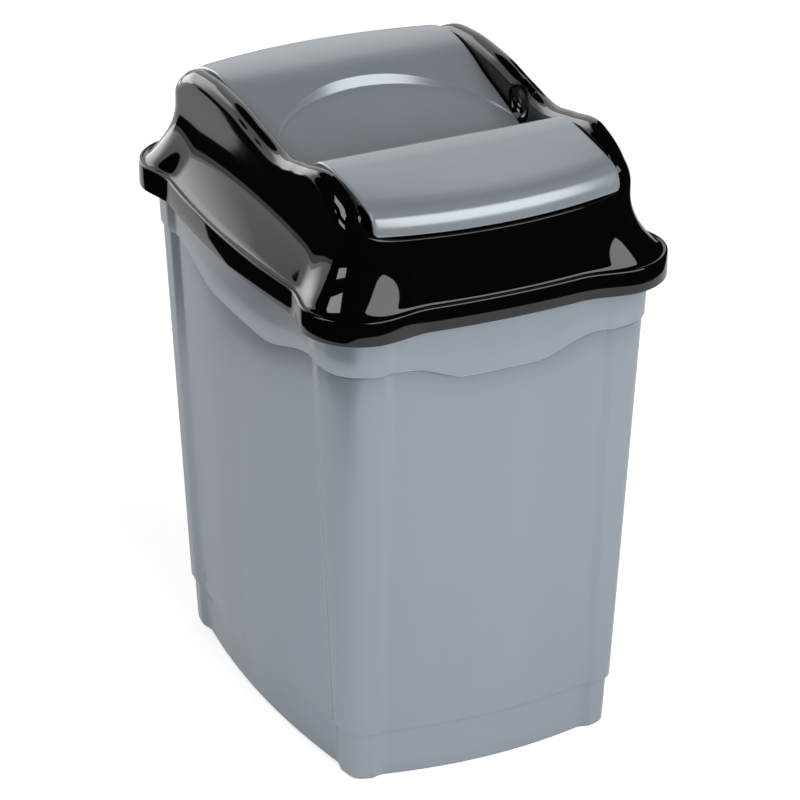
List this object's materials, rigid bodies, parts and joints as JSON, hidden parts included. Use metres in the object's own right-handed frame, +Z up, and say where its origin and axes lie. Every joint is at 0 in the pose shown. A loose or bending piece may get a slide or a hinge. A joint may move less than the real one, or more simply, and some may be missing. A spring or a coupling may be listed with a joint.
{
  "type": "swing-top kitchen bin",
  "caption": "Tapered rectangular kitchen bin with rounded corners, a lift-off black hood lid and a silver two-hump swing flap with a crescent push recess.",
  "frame": {"origin": "middle of the base, on the surface the bin stands on", "axes": "+X to the right along the front face, which is seen in the picture on the right; +Y from the front to the back; +Z up"},
  "size_m": [0.2658, 0.3388, 0.438],
  "materials": {
    "silver_plastic": "satin",
    "black_plastic": "gloss"
  },
  "bodies": {
    "tub": {"tub": "silver_plastic"},
    "lid": {"lid_hood": "black_plastic"},
    "flap": {"swing_flap": "silver_plastic"}
  },
  "joints": [
    {"name": "lid_lift", "type": "slide", "parent": "tub", "child": "lid", "axis": [0, 0, 1], "range_m": [0, 0.12]},
    {"name": "flap_swing", "type": "hinge", "parent": "lid", "child": "flap", "pos_m": [0, 0.005, 0.404], "axis": [-1, 0, 0], "range_deg": [0, 75]}
  ]
}
